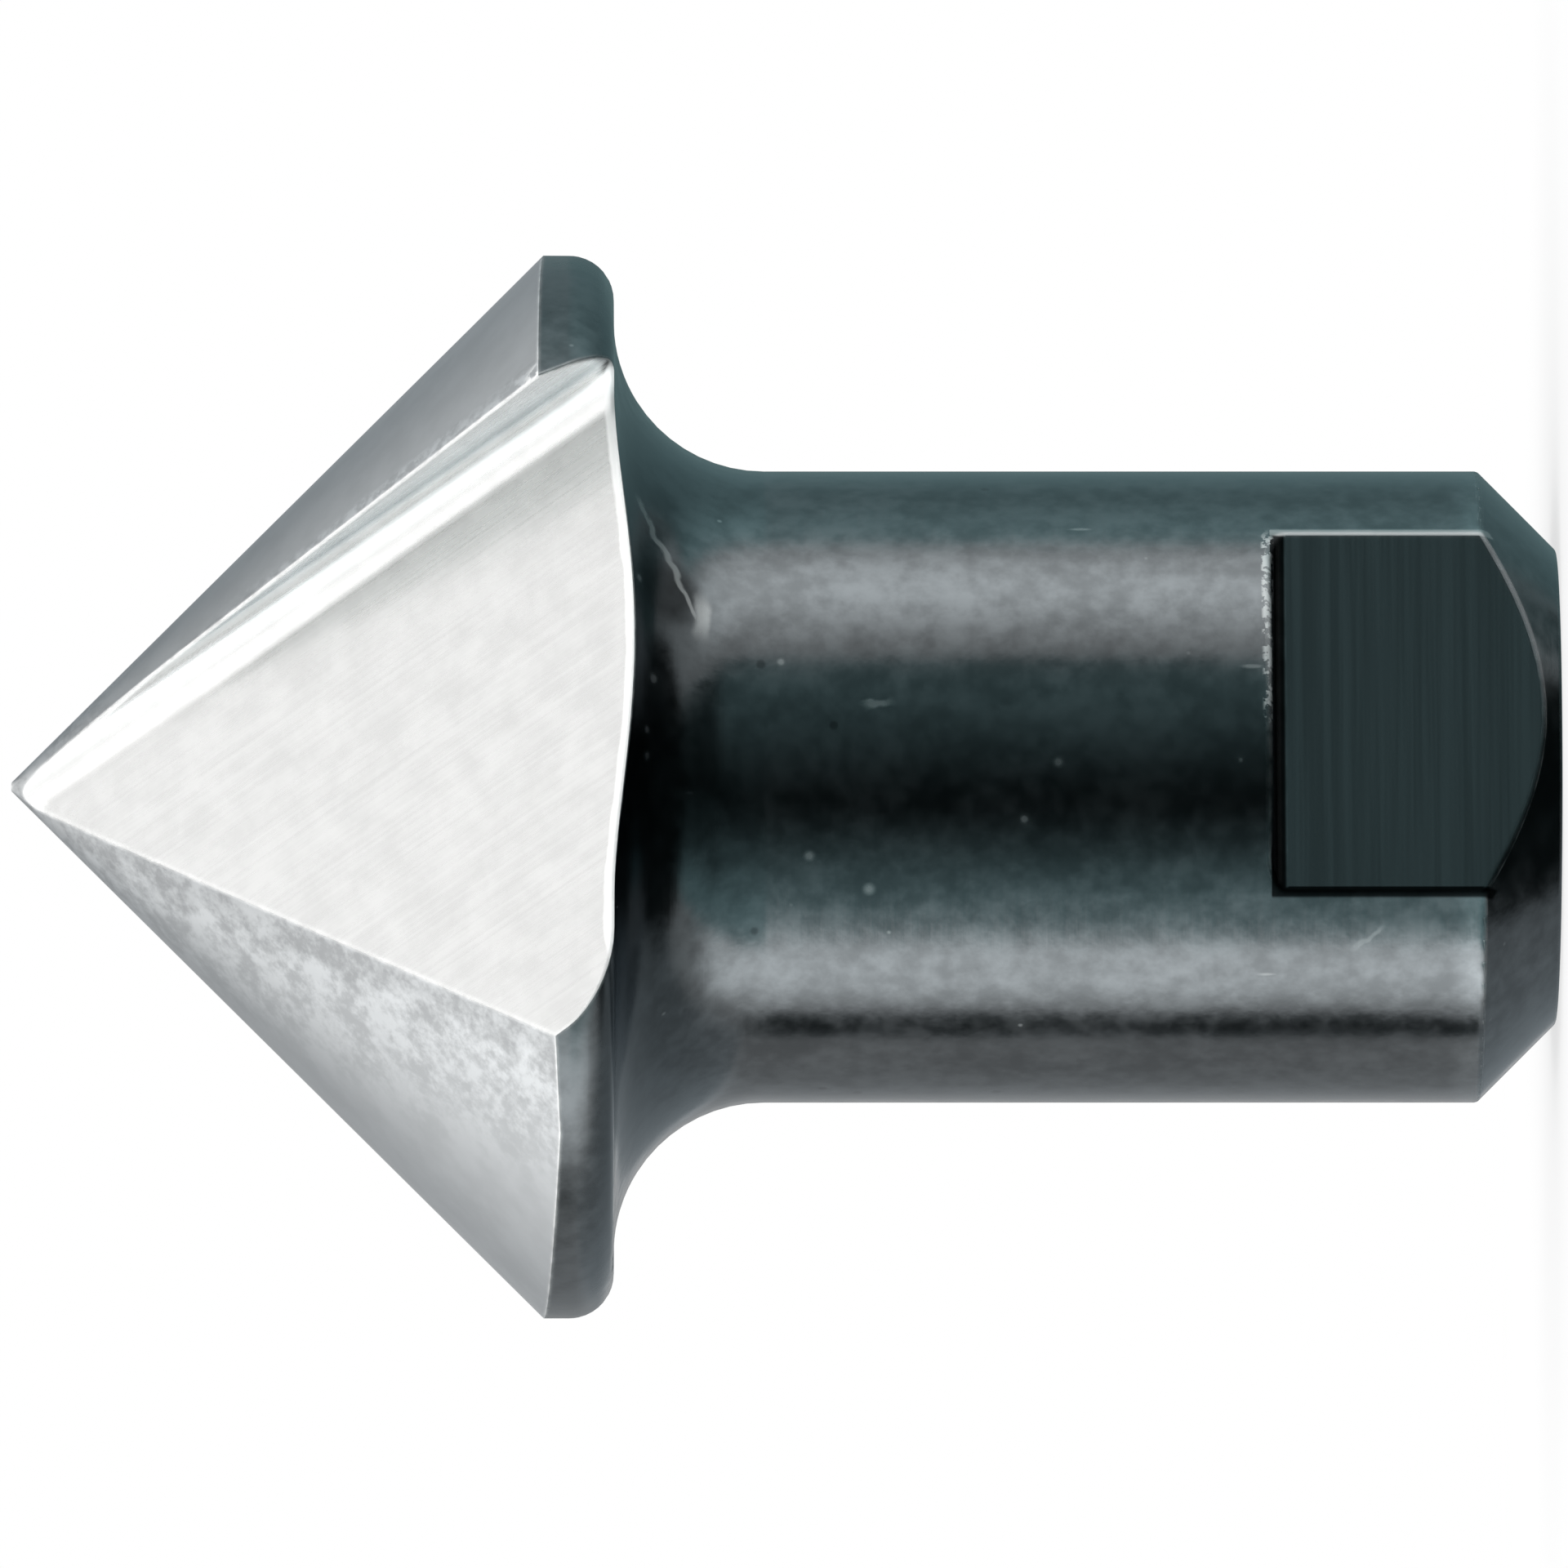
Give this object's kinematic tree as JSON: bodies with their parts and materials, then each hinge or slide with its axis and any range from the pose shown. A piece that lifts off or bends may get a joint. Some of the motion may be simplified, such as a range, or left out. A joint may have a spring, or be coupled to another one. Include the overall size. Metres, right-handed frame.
{
  "type": "countersink",
  "caption": "Stub countersink with a ground 90 degree point, V flutes and a round shank with a clamping flat, for chamfering and deburring drilled holes.",
  "frame": {"origin": "middle of the shank's end face, which the tool stands on", "axes": "+Z along the tool's axis from the shank's end to the point, -Y out of the clamping flat"},
  "size_m": [0.0202, 0.017, 0.0293],
  "materials": {
    "tool_steel": "black oxide on the shank, neck and rim, bright ground point and flutes"
  },
  "bodies": {
    "root": {"countersink": "tool_steel"}
  },
  "joints": []
}
